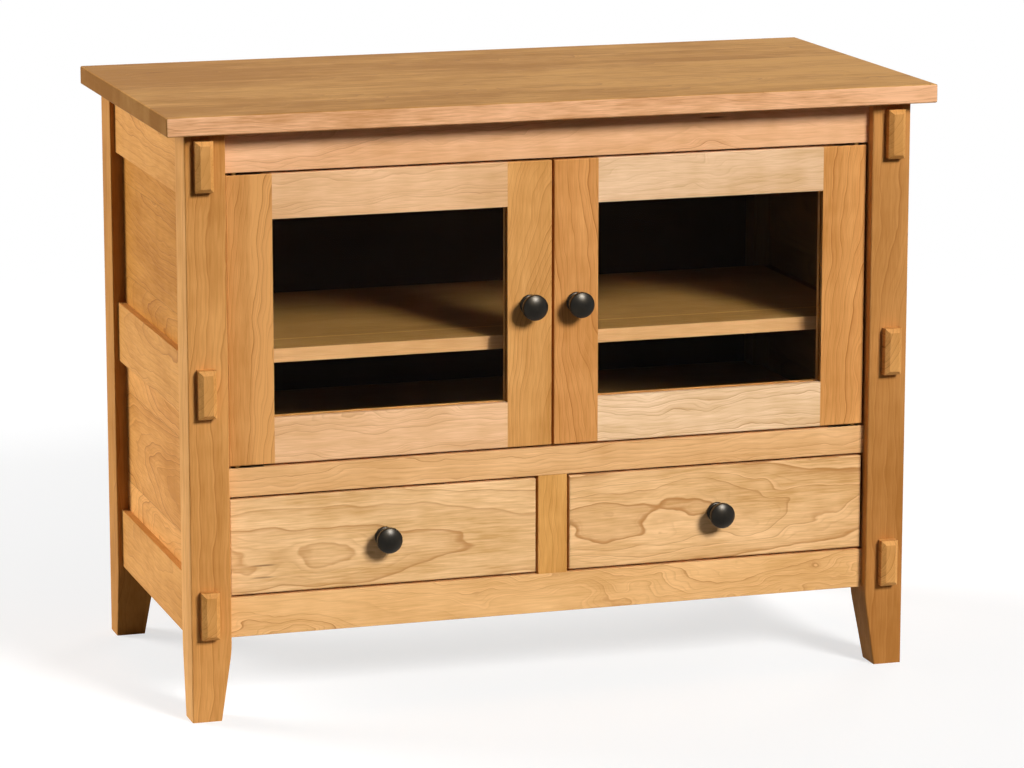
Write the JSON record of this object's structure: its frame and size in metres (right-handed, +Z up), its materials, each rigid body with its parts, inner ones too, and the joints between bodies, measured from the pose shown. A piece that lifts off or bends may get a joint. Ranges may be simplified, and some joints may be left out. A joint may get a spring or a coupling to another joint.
{
  "type": "tv console",
  "caption": "Cherry television console with glazed doors over drawers, an adjustable shelf, tapered post feet and exposed through tenons.",
  "frame": {"origin": "middle of the top's footprint, on the floor", "axes": "+X to the right seen from the front, +Y to the back, +Z up; the doors and drawers face -Y"},
  "size_m": [1.0668, 0.5334, 0.8128],
  "materials": {
    "cherry": "clear satin on solid cherry",
    "maple": "clear satin on solid maple",
    "plywood": "veneered panel, clear satin",
    "dark_veneer": "dark stained veneer",
    "glass": "clear polished pane",
    "dark_bronze": "dark satin bronze",
    "zinc_steel": "zinc plated",
    "brass": "aged brass"
  },
  "bodies": {
    "carcass": {"top_slab": "cherry", "front_left_post": "cherry", "front_right_post": "cherry", "back_left_post": "cherry", "back_right_post": "cherry", "front_top_rail": "cherry", "front_middle_rail": "cherry", "front_bottom_rail": "cherry", "drawer_divider": "cherry", "left_top_side_rail": "cherry", "left_middle_side_rail": "cherry", "left_bottom_side_rail": "cherry", "left_upper_panel": "cherry", "left_lower_panel": "cherry", "right_top_side_rail": "cherry", "right_middle_side_rail": "cherry", "right_bottom_side_rail": "cherry", "right_upper_panel": "cherry", "right_lower_panel": "cherry", "back_rails": "cherry", "adjustable_shelf": "cherry", "cabinet_floor": "cherry", "door_stop_cleat": "cherry", "slide_bearers": "maple", "slide_partition": "maple", "back_panel": "dark_veneer", "slide_channels": "zinc_steel", "shelf_pins": "zinc_steel", "door_catches": "zinc_steel", "hinge_pivots": "brass"},
    "left_door": {"left_door_hinge_stile": "cherry", "left_door_lock_stile": "cherry", "left_door_top_rail": "cherry", "left_door_bottom_rail": "cherry", "left_door_glass": "glass", "left_door_glass_stops": "cherry", "left_door_knob": "dark_bronze", "left_door_hinge_leaves": "brass"},
    "right_door": {"right_door_hinge_stile": "cherry", "right_door_lock_stile": "cherry", "right_door_top_rail": "cherry", "right_door_bottom_rail": "cherry", "right_door_glass": "glass", "right_door_glass_stops": "cherry", "right_door_knob": "dark_bronze", "right_door_hinge_leaves": "brass"},
    "left_drawer": {"left_drawer_front": "cherry", "left_drawer_box_sides": "maple", "left_drawer_box_ends": "maple", "left_drawer_bottom": "plywood", "left_drawer_knob": "dark_bronze", "left_drawer_inner_slides": "zinc_steel"},
    "right_drawer": {"right_drawer_front": "cherry", "right_drawer_box_sides": "maple", "right_drawer_box_ends": "maple", "right_drawer_bottom": "plywood", "right_drawer_knob": "dark_bronze", "right_drawer_inner_slides": "zinc_steel"},
    "left_slide_middle": {"left_drawer_middle_slides": "zinc_steel"},
    "right_slide_middle": {"right_drawer_middle_slides": "zinc_steel"}
  },
  "joints": [
    {"name": "left_door_hinge", "type": "hinge", "parent": "carcass", "child": "left_door", "pos_m": [-0.4353, -0.2193, 0.5347], "axis": [0, 0, -1], "range_deg": [0, 100]},
    {"name": "right_door_hinge", "type": "hinge", "parent": "carcass", "child": "right_door", "pos_m": [0.4353, -0.2193, 0.5347], "axis": [0, 0, 1], "range_deg": [0, 100]},
    {"name": "left_drawer_slide", "type": "slide", "parent": "carcass", "child": "left_drawer", "axis": [0, -1, 0], "range_m": [0, 0.38]},
    {"name": "left_middle_slide", "type": "slide", "parent": "carcass", "child": "left_slide_middle", "axis": [0, -1, 0], "range_m": [0, 0.19]},
    {"name": "right_drawer_slide", "type": "slide", "parent": "carcass", "child": "right_drawer", "axis": [0, -1, 0], "range_m": [0, 0.38]},
    {"name": "right_middle_slide", "type": "slide", "parent": "carcass", "child": "right_slide_middle", "axis": [0, -1, 0], "range_m": [0, 0.19]}
  ],
  "couplings": [
    {"joint": "left_middle_slide", "follows": "left_drawer_slide", "ratio": 0.5},
    {"joint": "right_middle_slide", "follows": "right_drawer_slide", "ratio": 0.5}
  ]
}
